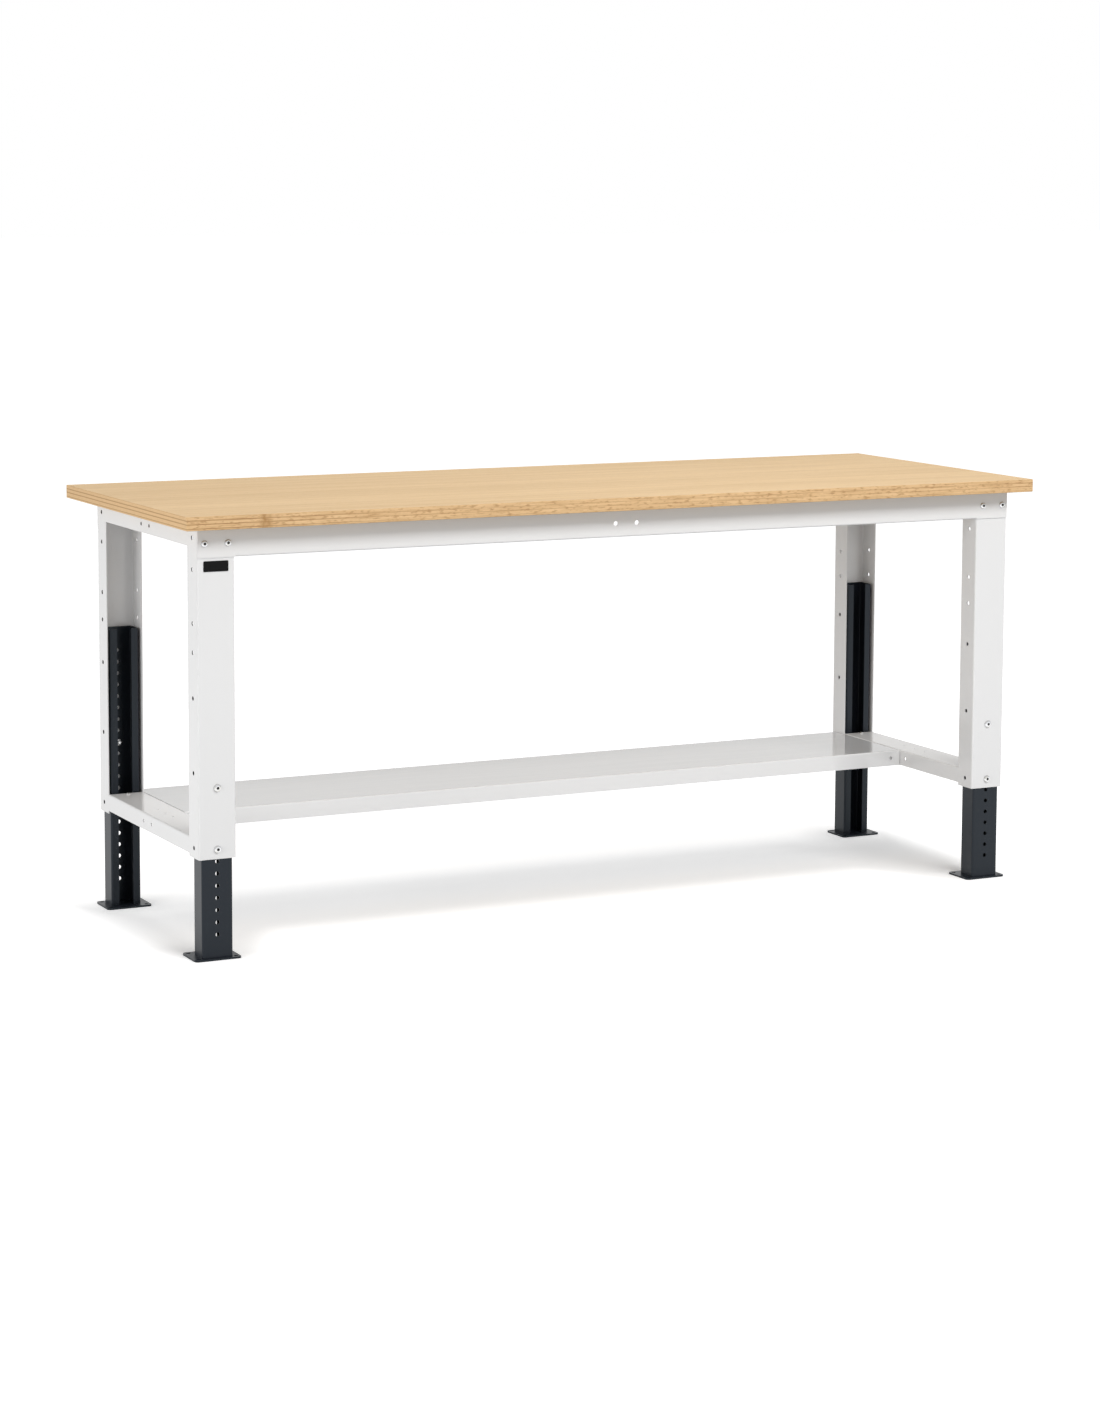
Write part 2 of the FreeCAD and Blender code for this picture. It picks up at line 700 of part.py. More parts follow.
def make_fasteners():
    """Makes every screw and nut, identical ones as a group of separate solids."""
    large = ("large_shank", "large_screw_length")
    large_rest = ("large_head_height", "large_socket", "large_socket_depth")
    beam_screw = make_screw("beam_screw", *large, "beam_head", *large_rest)
    lock_screw = make_screw("lock_screw", *large, "lock_head", *large_rest)
    large_nut = make_nut("large_nut", "large_nut_width", "large_nut_height", "large_shank")
    small_screw = make_screw(
        "small_screw", "small_shank", "small_screw_length", "small_head", "small_head_height",
        "small_socket", "small_socket_depth",
    )
    small_nut = make_nut("small_nut", "small_nut_width", "small_nut_height", "small_shank")
    wood_screw = make_screw(
        "wood_screw", "wood_shank", "wood_screw_length", "wood_head", "wood_head_height",
        "wood_socket", "wood_socket_depth", "wood_tip",
    )
    doc.recompute()
    worktop_places = [
        (x, y, "frame_top - frame_sheet", AXIS_X, HALF_TURN) for x, y in worktop_screw_places()
    ]
    return [
        group("beam_screws", beam_screw, beam_fastener_places("-frame_sheet")),
        group("beam_nuts", large_nut, beam_fastener_places("frame_sheet")),
        group("leg_lock_screws", lock_screw, lock_fastener_places("0")),
        group("leg_lock_nuts", large_nut, lock_fastener_places("tube_web + tube_sheet + slide_gap")),
        group("rail_screws", small_screw, rail_fastener_places("0")),
        group("rail_nuts", small_nut, rail_fastener_places("(frame_sheet + bracket_sheet)")),
        group("shelf_screws", small_screw, shelf_fastener_places("shelf_half - shelf_sheet")),
        group(
            "shelf_nuts", small_nut, shelf_fastener_places("leg_middle - leg_width / 2 + frame_sheet")
        ),
        group("worktop_screws", wood_screw, worktop_places),
    ]


def build():
    """Builds every sub-part and returns them."""
    make_sheet()
    pieces = [make_worktop(), make_beam("front_beam", 1), make_beam("rear_beam", -1)]
    for corner in CORNERS:
        pieces.append(make_outer_leg(corner))
        pieces.append(make_inner_leg(corner))
        pieces.append(make_base_plate(corner))
        pieces.append(make_rail_bracket(corner))
    for name, side in SIDES.items():
        pieces.append(make_upper_rail(name, side))
        pieces.append(make_lower_rail(name, side))
    pieces.append(make_shelf())
    pieces += make_fasteners()
    doc.recompute()
    return pieces


def check(pieces):
    """Stops the build if any object failed or any sub-part's shape is empty or broken."""
    for item in doc.Objects:
        if {"Invalid", "Error"} & set(item.State):
            raise ValueError(f"{item.Label} failed: {item.State}")
    for piece in pieces:
        if piece.Shape.isNull() or not piece.Shape.isValid():
            raise ValueError(f"{piece.Label} has no valid shape")


def write(pieces):
    """Writes each sub-part to its own file."""
    os.makedirs("parts", exist_ok=True)
    for piece in pieces:
        piece.Shape.exportStep(f"parts/{piece.Label}.step")


parts = build()
check(parts)
write(parts)
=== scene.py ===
"""Looks of a height-adjustable workbench: its finishes, its screws and nuts, and a pale studio."""
import json
import logging
import math
from collections.abc import Callable
from dataclasses import dataclass
from enum import Enum

import bmesh
import bpy
from mathutils import Matrix, Vector


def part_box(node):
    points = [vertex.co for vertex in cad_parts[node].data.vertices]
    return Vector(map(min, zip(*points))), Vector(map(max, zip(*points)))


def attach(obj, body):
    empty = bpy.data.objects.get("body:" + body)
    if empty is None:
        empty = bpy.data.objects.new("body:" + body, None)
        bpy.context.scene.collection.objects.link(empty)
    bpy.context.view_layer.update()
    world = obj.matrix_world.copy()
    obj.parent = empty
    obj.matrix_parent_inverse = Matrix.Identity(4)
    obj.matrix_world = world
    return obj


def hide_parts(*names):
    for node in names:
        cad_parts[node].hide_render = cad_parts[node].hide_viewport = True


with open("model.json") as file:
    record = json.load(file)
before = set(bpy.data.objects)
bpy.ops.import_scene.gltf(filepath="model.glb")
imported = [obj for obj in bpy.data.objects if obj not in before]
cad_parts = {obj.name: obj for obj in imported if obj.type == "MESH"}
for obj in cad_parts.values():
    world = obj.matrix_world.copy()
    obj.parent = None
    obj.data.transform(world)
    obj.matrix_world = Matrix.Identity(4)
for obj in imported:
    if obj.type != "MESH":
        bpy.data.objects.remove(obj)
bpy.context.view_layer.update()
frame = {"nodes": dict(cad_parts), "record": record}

LOG = logging.getLogger("workbench")

Pair = tuple[float, float]
Triple = tuple[float, float, float]
Socket = bpy.types.NodeSocket
Value = Socket | float | Triple

WHITE: Triple = (1.0, 1.0, 1.0)
UNIT: Pair = (0.0, 1.0)
FALLING: Pair = (1.0, 0.0)
MILLIMETRE = 0.001
SMOOTH_ANGLE = math.radians(35.0)


class Axis(Enum):
    """Directions of the bench: along its length, from front to back, and up."""

    LENGTH = 0
    DEPTH = 1
    HEIGHT = 2


class Ring(Enum):
    """Outlines that a turned piece can have."""

    ROUND = "round"
    HEXAGON = "hexagon"


@dataclass(frozen=True)
class Cloud:
    """Cloudy noise: its waves per metre along X, Y and Z, and the shares that its values stand for."""

    waves: Triple
    detail: float = 2.0
    shift: float = 0.0
    bounds: Pair = (0.3, 0.7)
    shares: Pair = UNIT


class Nodes:
    """A node tree with short ways to add nodes and join them."""

    def __init__(self, tree: bpy.types.NodeTree) -> None:
        """Takes hold of a tree's nodes and links."""
        self.nodes = tree.nodes
        self.links = tree.links

    def feed(self, socket: Socket, value: Value) -> None:
        """Links a socket to another, or sets it to a constant.

        Args:
            socket: The input to feed.
            value: An output to link, a number, a colour or a vector.
        """
        if isinstance(value, bpy.types.NodeSocket):
            self.links.new(value, socket)
        elif socket.type == "RGBA":
            socket.default_value = (*value, 1.0)
        else:
            socket.default_value = value

    def add(self, kind: str, *values: Value, **named: Value) -> bpy.types.Node:
        """Adds a node and feeds its inputs.

        Args:
            kind: The node's type.
            *values: Values for its first inputs, in order.
            **named: Values for inputs by name, with underscores for spaces.

        Returns:
            The node.
        """
        node = self.nodes.new("ShaderNode" + kind)
        for socket, value in zip(node.inputs, values):
            self.feed(socket, value)
        for name, value in named.items():
            self.feed(node.inputs[name.replace("_", " ")], value)
        return node

    def maths(self, operation: str, first: Value, second: Value = 0.0) -> Socket:
        """Combines two values.

        Args:
            operation: The operation's name, such as MULTIPLY.
            first: The first value.
            second: The second value.

        Returns:
            The result.
        """
        node = self.add("Math", first, second)
        node.operation = operation
        return node.outputs[0]

    def span(self, value: Socket, bounds: Pair, result: tuple[Value, Value],
             soft: bool = False) -> Socket:
        """Maps a value between two bounds to a result between two others, and clamps it there.

        Args:
            value: The value.
            bounds: Lowest and highest value.
            result: The results at those bounds.
            soft: Whether the result levels off gently at both bounds.

        Returns:
            The mapped value.
        """
        node = self.add("MapRange", value, *bounds, *result)
        node.interpolation_type = "SMOOTHSTEP" if soft else "LINEAR"
        return node.outputs["Result"]

    def seen(self) -> Socket:
        """Tells rays that come from the camera, straight or by a mirror or glass, from all others.

        Returns:
            1 for such a ray, and else 0.
        """
        path = self.add("LightPath").outputs
        mirrored = self.maths("MAXIMUM", path["Is Glossy Ray"], path["Is Transmission Ray"])
        return self.maths("MAXIMUM", path["Is Camera Ray"], mirrored)


class Finish(Nodes):
    """A material's nodes around one surface shader, on the bench's own coordinates."""

    def __init__(self, name: str) -> None:
        """Starts a material.

        Args:
            name: The material's name.
        """
        self.material = bpy.data.materials.new(name)
        self.material.use_nodes = True
        super().__init__(self.material.node_tree)
        self.surface = self.nodes["Principled BSDF"]
        self.place = self.add("TexCoord").outputs["Object"]

    def give(self, **values: Value) -> None:
        """Feeds inputs of the surface shader, named with underscores for spaces."""
        for name, value in values.items():
            self.feed(self.surface.inputs[name.replace("_", " ")], value)

    def noise(self, cloud: Cloud) -> Socket:
        """Adds a cloud.

        Args:
            cloud: The cloud.

        Returns:
            The cloud's own value from 0 to 1.
        """
        shift = (cloud.shift, cloud.shift, cloud.shift)
        mapping = self.add("Mapping", self.place, Scale=cloud.waves, Location=shift)
        noise = self.add("TexNoise", Vector=mapping.outputs["Vector"], Scale=1.0, Detail=cloud.detail)
        return noise.outputs["Fac"]

    def share(self, cloud: Cloud) -> Socket:
        """Adds a cloud and gives the share that its value stands for."""
        return self.span(self.noise(cloud), cloud.bounds, cloud.shares)

    def roughen(self, cloud: Cloud, roughness: Pair) -> None:
        """Lets the surface's roughness follow a cloud, from its lowest to its highest value."""
        self.give(Roughness=self.span(self.noise(cloud), cloud.bounds, roughness))

    def bump(self, cloud: Cloud, depth: float) -> None:
        """Raises the surface's skin by a cloud's value times a depth in metres."""
        self.give(Normal=self.add("Bump", Height=self.noise(cloud), Distance=depth).outputs["Normal"])

    def ramp(self, value: Value, stops: list[tuple[float, Triple]]) -> Socket:
        """Colours a value by a ramp.

        Args:
            value: The value, from 0 to 1.
            stops: Places on the ramp with their colours, in order.

        Returns:
            The colour.
        """
        node = self.add("ValToRGB", value)
        elements = node.color_ramp.elements
        for number, (spot, colour) in ((0, stops[0]), (1, stops[-1])):
            elements[number].position = spot
            elements[number].color = (*colour, 1.0)
        for spot, colour in stops[1:-1]:
            elements.new(spot).color = (*colour, 1.0)
        return node.outputs["Color"]

    def mix(self, share: Value, first: Value, second: Value, blend: str = "MIX") -> Socket:
        """Mixes two colours.

        Args:
            share: The second colour's share.
            first: The first colour.
            second: The second colour.
            blend: How they are mixed, such as MIX or MULTIPLY.

        Returns:
            The mixed colour.
        """
        node = self.add("Mix")
        node.data_type = "RGBA"
        node.blend_type = blend
        sockets = [socket for socket in node.inputs if socket.enabled]
        for socket, value in zip(sockets, (share, first, second)):
            self.feed(socket, value)
        return next(socket for socket in node.outputs if socket.enabled)

    def coordinate(self, axis: Axis) -> Socket:
        """Gives the place on the bench along one axis, in metres."""
        return self.add("SeparateXYZ", self.place).outputs[axis.value]

    def facing(self, axis: Axis) -> Socket:
        """Gives how squarely the surface faces along one axis, either way, from 0 to 1."""
        normal = self.add("NewGeometry").outputs["Normal"]
        return self.maths("ABSOLUTE", self.add("SeparateXYZ", normal).outputs[axis.value])

    def near(self, axis: Axis, spot: float, reach: Pair) -> Socket:
        """Tells what is close to a place along an axis.

        Args:
            axis: The axis.
            spot: The place along it, in metres.
            reach: Distances at which the nearness starts to fade and ends.

        Returns:
            The nearness, from 1 down to 0.
        """
        distance = self.maths("ABSOLUTE", self.maths("SUBTRACT", self.coordinate(axis), spot))
        return self.span(distance, reach, FALLING)


@dataclass(frozen=True)
class PowderCoat:
    """A sprayed and baked paint with a fine orange-peel skin."""

    name: str
    colour: Triple
    roughness: float
    specular: float = 0.5
    specular_tint: Triple = WHITE
    roughness_swing: float = 0.02
    tone_swing: float = 0.006
    peel_depth: float = 0.00002
    tones: Cloud = Cloud((4.0, 4.0, 4.0), detail=3.0)
    smudges: Cloud = Cloud((9.0, 9.0, 9.0), detail=4.0, shift=5.0)
    peel: Cloud = Cloud((420.0, 420.0, 420.0))

    def make(self) -> bpy.types.Material:
        """Makes the paint.

        Returns:
            The material.
        """
        finish = Finish(self.name)
        finish.give(Base_Color=self.pigment(finish))
        finish.give(Specular_IOR_Level=self.specular, Specular_Tint=self.specular_tint)
        swing = self.roughness_swing
        finish.roughen(self.smudges, (self.roughness - swing, self.roughness + swing))
        finish.bump(self.peel, self.peel_depth)
        return finish.material

    def pigment(self, finish: Finish) -> Socket:
        """Colours the paint.

        Args:
            finish: The material's nodes.

        Returns:
            The colour.
        """
        deeper = tuple(part * (1.0 - self.tone_swing) for part in self.colour)
        return finish.mix(finish.noise(self.tones), deeper, self.colour)


@dataclass(frozen=True)
class HoleRow:
    """A row of holes punched through both ends of the frame: its middle and reach in depth and height."""

    depth: float
    depth_reach: float
    height: float
    height_reach: float


@dataclass(frozen=True)
class PunchedCoat(PowderCoat):
    """A paint with shade painted on the walls of punched holes, which darkens the holes."""

    # The dark colour painted on the hole walls as shade.
    hole_shade: Triple = (0.05, 0.05, 0.052)
    sheet_place: float = 0.0
    sheet_reach: Pair = (0.0010, 0.0012)
    wall_turn: Pair = (0.4, 0.6)
    feather: float = 0.0005
    rows: tuple[HoleRow, ...] = ()

    def pigment(self, finish: Finish) -> Socket:
        """Colours the paint, and paints shade on the hole walls.

        Args:
            finish: The material's nodes.

        Returns:
            The colour.
        """
        outward = finish.maths("ABSOLUTE", finish.coordinate(Axis.LENGTH))
        off_sheet = finish.maths("ABSOLUTE", finish.maths("SUBTRACT", outward, self.sheet_place))
        in_sheet = finish.span(off_sheet, self.sheet_reach, FALLING)
        turned = finish.span(finish.facing(Axis.LENGTH), self.wall_turn, FALLING)
        wall = finish.maths("MULTIPLY", in_sheet, turned)
        holes: Value = 0.0
        for row in self.rows:
            deep = finish.near(Axis.DEPTH, row.depth, self.feathered(row.depth_reach))
            high = finish.near(Axis.HEIGHT, row.height, self.feathered(row.height_reach))
            holes = finish.maths("MAXIMUM", finish.maths("MULTIPLY", deep, high), holes)
        # Painted shade: a dark colour on the hole walls inside the sheet, within each row of holes.
        return finish.mix(finish.maths("MULTIPLY", wall, holes), super().pigment(finish), self.hole_shade)

    def feathered(self, reach: float) -> Pair:
        """Gives a reach and where its feathered border ends."""
        return reach, reach + self.feather


@dataclass(frozen=True)
class TrayCoat(PowderCoat):
    """A paint whose level sides are darkened as painted shade, faintly streaked along the tray."""

    # The darker colour painted on the level sides as shade.
    painted_level_shade: Triple = (0.645, 0.655, 0.665)
    level_turn: Pair = (0.75, 0.95)
    # Streaks along the tray in the painted shade of the level sides.
    scuffs: Cloud = Cloud((5.0, 120.0, 120.0), detail=3.0, shift=8.0, shares=(0.85, 1.0))

    def pigment(self, finish: Finish) -> Socket:
        """Colours the paint, and darkens its level sides as painted shade with faint streaks along the
        tray.

        Args:
            finish: The material's nodes.

        Returns:
            The colour.
        """
        # Painted shade: the sides facing up or down are darkened, with faint streaks.
        level = finish.span(finish.facing(Axis.HEIGHT), self.level_turn, UNIT)
        level_shade = finish.maths("MULTIPLY", level, finish.share(self.scuffs))
        return finish.mix(level_shade, super().pigment(finish), self.painted_level_shade)


@dataclass(frozen=True)
class ZincPlate:
    """Bright zinc plating with faint tints and a fine turned skin."""

    name: str = "zinc_plate"
    colour: Triple = (0.62, 0.63, 0.65)
    tint: Triple = (0.56, 0.55, 0.51)
    roughness: Pair = (0.2, 0.34)
    skin_depth: float = 0.00001
    patches: Cloud = Cloud((160.0, 160.0, 160.0), detail=3.0, bounds=(0.4, 0.7))
    scuffs: Cloud = Cloud((700.0, 700.0, 700.0), detail=3.0, shift=2.0)
    skin: Cloud = Cloud((1500.0, 1500.0, 1500.0))

    def make(self) -> bpy.types.Material:
        """Makes the plating.

        Returns:
            The material.
        """
        finish = Finish(self.name)
        colour = finish.mix(finish.share(self.patches), self.colour, self.tint)
        finish.give(Base_Color=colour, Metallic=1.0)
        finish.roughen(self.scuffs, self.roughness)
        finish.bump(self.skin, self.skin_depth)
        return finish.material


@dataclass(frozen=True)
class SocketShade:
    """Painted shade for the inside of a screw's socket: a dark, rough finish with a paler mottle."""

    name: str = "painted_socket_shade"
    # The dark colour painted into the socket as shade.
    colour: Triple = (0.07, 0.07, 0.069)
    paler: Triple = (0.14, 0.137, 0.132)
    roughness: Pair = (0.4, 0.6)
    specular: float = 0.25
    grit_depth: float = 0.00001
    mottle: Cloud = Cloud((900.0, 900.0, 900.0), detail=3.0, bounds=(0.4, 0.7))
    grit: Cloud = Cloud((900.0, 900.0, 900.0), detail=3.0)

    def make(self) -> bpy.types.Material:
        """Makes the recess's finish.

        Returns:
            The material.
        """
        finish = Finish(self.name)
        finish.give(Base_Color=finish.mix(finish.share(self.mottle), self.colour, self.paler))
        finish.give(Specular_IOR_Level=self.specular)
        finish.roughen(self.grit, self.roughness)
        finish.bump(self.grit, self.grit_depth)
        return finish.material


@dataclass(frozen=True)
class BeechPlywood:
    """Lacquered beech plywood: straight-grained faces along X and plies along the edges."""

    front: float
    bottom: float
    top: float
    name: str = "beech_plywood"
    light: Triple = (0.865, 0.635, 0.371)
    dark: Triple = (0.652, 0.441, 0.225)
    ply: Triple = (0.81, 0.553, 0.3)
    cross_ply: Triple = (0.43, 0.235, 0.105)
    sawn: Triple = (0.82, 0.78, 0.73)
    knot: Triple = (0.44, 0.245, 0.10)
    knot_place: float = -0.832
    knot_reach: Pair = (0.006, 0.016)
    knot_depth: Pair = (0.002, 0.004)
    plies: tuple[float, ...] = (0.0030, 0.0016, 0.0068, 0.0021, 0.0056, 0.0021, 0.0059, 0.0009)
    glue: float = 0.0002
    ply_reach: Pair = (0.55, 0.86)
    left_share: float = 0.5
    right_share: float = 0.15
    end_share: float = 0.68
    end_sawn_share: float = 0.2
    face_turn: Pair = (0.6, 0.8)
    end_turn: Pair = (0.4, 0.6)
    band_share: float = 0.45
    fibre_share: float = 0.35
    roughness: Pair = (0.41, 0.54)
    specular: float = 0.03
    pore_depth: float = 0.00004
    pores: Cloud = Cloud((90.0, 900.0, 900.0), detail=3.0)
    streaks: Cloud = Cloud((1.3, 34.0, 1.0), detail=5.0)
    bands: Cloud = Cloud((0.6, 7.0, 1.0), detail=3.0, shift=11.0)
    fibres: Cloud = Cloud((9.0, 380.0, 1.0), detail=3.0, shift=3.0)
    rays: Cloud = Cloud((60.0, 480.0, 1.0), detail=1.0, shift=7.0,
                        bounds=(0.6, 0.74), shares=(0.0, 0.3))
    wander: Cloud = Cloud((5.0, 5.0, 0.0), bounds=(0.2, 0.8), shares=(-0.012, 0.012))
    patches: Cloud = Cloud((6.0, 3.0, 25.0), detail=3.0, shift=9.0,
                           bounds=(0.35, 0.65), shares=(0.05, 0.5))
    saw_marks: Cloud = Cloud((14.0, 14.0, 240.0), detail=4.0, shift=1.0, bounds=(0.3, 0.65))
    torn: Cloud = Cloud((70.0, 70.0, 240.0), detail=3.0, shift=4.0,
                        bounds=(0.52, 0.68), shares=(0.0, 0.7))
    knot_rim: Cloud = Cloud((120.0, 120.0, 90.0), shift=6.0, bounds=(0.3, 0.6), shares=(0.35, 0.85))

    def make(self) -> bpy.types.Material:
        """Makes the board's material.

        Returns:
            The material.
        """
        finish = Finish(self.name)
        is_face = finish.span(finish.facing(Axis.HEIGHT), self.face_turn, UNIT)
        finish.give(Base_Color=finish.mix(is_face, self.edge(finish), self.face(finish)))
        finish.give(Specular_IOR_Level=self.specular)
        finish.roughen(self.pores, self.roughness)
        finish.bump(self.pores, self.pore_depth)
        return finish.material

    def face(self, finish: Finish) -> Socket:
        """Colours the veneer of the two faces.

        Args:
            finish: The material's nodes.

        Returns:
            The colour.
        """
        streaks, bands, fibres = (
            finish.mix(finish.share(cloud), self.dark, self.light)
            for cloud in (self.streaks, self.bands, self.fibres)
        )
        colour = finish.mix(self.fibre_share, finish.mix(self.band_share, streaks, bands), fibres)
        return finish.mix(finish.share(self.rays), colour, self.cross_ply)

    def edge(self, finish: Finish) -> Socket:
        """Colours the four edges, where the long ones are more roughly sawn than the ends.

        Args:
            finish: The material's nodes.

        Returns:
            The colour.
        """
        is_end = finish.span(finish.facing(Axis.LENGTH), self.end_turn, UNIT)
        clearness = finish.span(is_end, UNIT, (self.clearness(finish), self.end_share))
        colour = finish.mix(clearness, self.ply, self.lines(finish))
        roughly = finish.span(is_end, UNIT, (1.0, self.end_sawn_share))
        marks = finish.mix(finish.share(self.saw_marks), self.sawn, WHITE)
        colour = finish.mix(roughly, colour, marks, "MULTIPLY")
        torn = finish.maths("MULTIPLY", finish.share(self.torn), roughly)
        colour = finish.mix(torn, colour, self.cross_ply)
        return finish.mix(self.knot_share(finish), colour, self.knot)

    def lines(self, finish: Finish) -> Socket:
        """Colours the plies by their height, each with its two borders.

        Args:
            finish: The material's nodes.

        Returns:
            The colour.
        """
        stops = []
        total = sum(self.plies)
        reached = 0.0
        for number, thickness in enumerate(self.plies):
            colour = self.cross_ply if number % 2 else self.ply
            stops.append(((reached + self.glue) / total, colour))
            reached += thickness
            stops.append(((reached - self.glue) / total, colour))
        height = finish.span(finish.coordinate(Axis.HEIGHT), (self.bottom, self.top), UNIT)
        return finish.ramp(finish.maths("ADD", height, finish.share(self.wander)), stops)

    def clearness(self, finish: Finish) -> Socket:
        """Works out how clearly the plies show along the front and back edges.

        Args:
            finish: The material's nodes.

        Returns:
            The clearness, which is patchy and grows towards both ends.
        """
        clearness = finish.share(self.patches)
        for side, share in ((-1.0, self.left_share), (1.0, self.right_share)):
            outward = finish.maths("MULTIPLY", finish.coordinate(Axis.LENGTH), side)
            clearness = finish.maths("ADD", clearness, finish.span(outward, self.ply_reach, (0.0, share)))
        return clearness

    def knot_share(self, finish: Finish) -> Socket:
        """Places the ragged dark spot on the front edge.

        Args:
            finish: The material's nodes.

        Returns:
            The spot's share.
        """
        along = finish.near(Axis.LENGTH, self.knot_place, self.knot_reach)
        in_front = finish.near(Axis.DEPTH, self.front, self.knot_depth)
        ragged = finish.maths("MULTIPLY", along, finish.share(self.knot_rim))
        return finish.maths("MULTIPLY", ragged, in_front)


@dataclass
class Worktop:
    """The plywood board."""

    node: str = "worktop"

    def dress(self) -> None:
        """Gives the board its finish."""
        low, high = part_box(self.node)
        paint([self.node], BeechPlywood(low.y, low.z, high.z).make())


@dataclass
class SteelFrame:
    """Everything that is painted white: beams, outer legs, side rails and their brackets."""

    prefixes: tuple[str, ...] = ("front_beam", "rear_beam", "outer_leg", "upper_side_rail",
                                 "lower_side_rail", "rail_bracket")
    punched: tuple[str, ...] = ("leg_holes_front_left", "leg_holes_back_left", "upper_rail_holes_left")
    colour: Triple = (0.84, 0.84, 0.84)
    roughness: float = 0.14
    sheet: float = 0.002
    hole_slack: float = 0.001

    def dress(self) -> None:
        """Gives the frame its white paint."""
        low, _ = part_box("outer_leg_front_left")
        sheet_place = -low.x - self.sheet / 2
        rows = tuple(self.hole_row(name) for name in self.punched)
        coat = PunchedCoat("white_powder_coat", self.colour, self.roughness,
                           sheet_place=sheet_place, rows=rows)
        paint(nodes_called(*self.prefixes), coat.make())

    def hole_row(self, name: str) -> HoleRow:
        """Works out where a row of punched holes lies.

        Args:
            name: The mount that the row belongs to.

        Returns:
            The row, which on a leg is the leg's whole height.
        """
        mount = next(mount for mount in frame["record"]["mounts"] if mount["name"] == name)
        _, depth, height = mount["pos_m"]
        reach = mount["dims"]["hole_r_mm"] * MILLIMETRE + self.hole_slack
        if "leg" not in name:
            half_row = mount["dims"]["spacing_x_mm"] * MILLIMETRE / 2
            return HoleRow(depth, half_row + reach, height, reach)
        low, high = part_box("outer_leg_front_left")
        return HoleRow(depth, reach, (low.z + high.z) / 2, (high.z - low.z) / 2 - reach)


@dataclass
class Shelf:
    """The sheet tray between the lower rails."""

    node: str = "shelf"
    coat: TrayCoat = TrayCoat("shelf_powder_coat", (0.87, 0.87, 0.87), 0.1, peel_depth=0.00001)

    def dress(self) -> None:
        """Gives the tray its glossy light grey paint."""
        paint([self.node], self.coat.make())


@dataclass
class TelescopicLegs:
    """The dark inner legs and their base plates."""

    prefixes: tuple[str, ...] = ("inner_leg", "base_plate")
    coat: PowderCoat = PowderCoat("anthracite_powder_coat", (0.0125, 0.015, 0.0205), 0.34, specular=0.27,
                                  specular_tint=(0.82, 0.93, 1.0), tone_swing=0.1)

    def dress(self) -> None:
        """Gives the legs their anthracite paint."""
        paint(nodes_called(*self.prefixes), self.coat.make())


class Turning:
    """A piece that is drawn up ring by ring around the Z axis, as on a lathe."""

    def __init__(self, name: str, radius: float, level: float, filled: bool, segments: int = 48) -> None:
        """Lays the first ring and enters edit mode.

        Args:
            name: The piece's name.
            radius: The ring's radius.
            level: Its height.
            filled: Whether a face closes it.
            segments: How many points each ring has.
        """
        bpy.ops.object.select_all(action="DESELECT")
        fill = "NGON" if filled else "NOTHING"
        bpy.ops.mesh.primitive_circle_add(vertices=segments, radius=radius, fill_type=fill)
        self.piece = bpy.context.object
        self.piece.name = name
        bpy.ops.object.mode_set(mode="EDIT")
        bpy.ops.mesh.select_mode(type="VERT")
        bpy.ops.mesh.select_all(action="SELECT")
        bpy.ops.transform.translate(value=(0.0, 0.0, level))

    def draw(self, radius: float, level: float, ring: Ring = Ring.ROUND, rise: float = 0.0) -> None:
        """Extrudes the last ring and shapes the new one.

        Args:
            radius: The new ring's radius, or half a hexagon's width across its flats.
            level: Its height.
            ring: Its outline.
            rise: How far a hexagon's points rise for each unit that they stand out past its flats.
        """
        bpy.ops.mesh.extrude_region_move()
        mesh = bmesh.from_edit_mesh(self.piece.data)
        sixth = math.tau / 6
        for point in mesh.verts:
            if not point.select:
                continue
            off_flat = math.atan2(point.co.y, point.co.x) % sixth - sixth / 2
            reach = radius / math.cos(off_flat) if ring is Ring.HEXAGON else radius
            outward = point.co.xy.normalized() * reach
            point.co = (outward.x, outward.y, level + rise * (reach - radius))
        bmesh.update_edit_mesh(self.piece.data)

    def finish(self) -> bpy.types.Object:
        """Closes the piece and leaves edit mode.

        Returns:
            The piece, with its faces outwards and its round sides smooth.
        """
        close_shell()
        bpy.ops.object.shade_smooth_by_angle(angle=SMOOTH_ANGLE)
        return self.piece


@dataclass(frozen=True)
class Thread:
    """The sizes that the screws and nuts of one thread share."""

    shank: float
    pitch: float
    length: float
    head_height: float
    socket: float
    socket_depth: float
    nut_width: float
    nut_height: float
    nut_bore: float


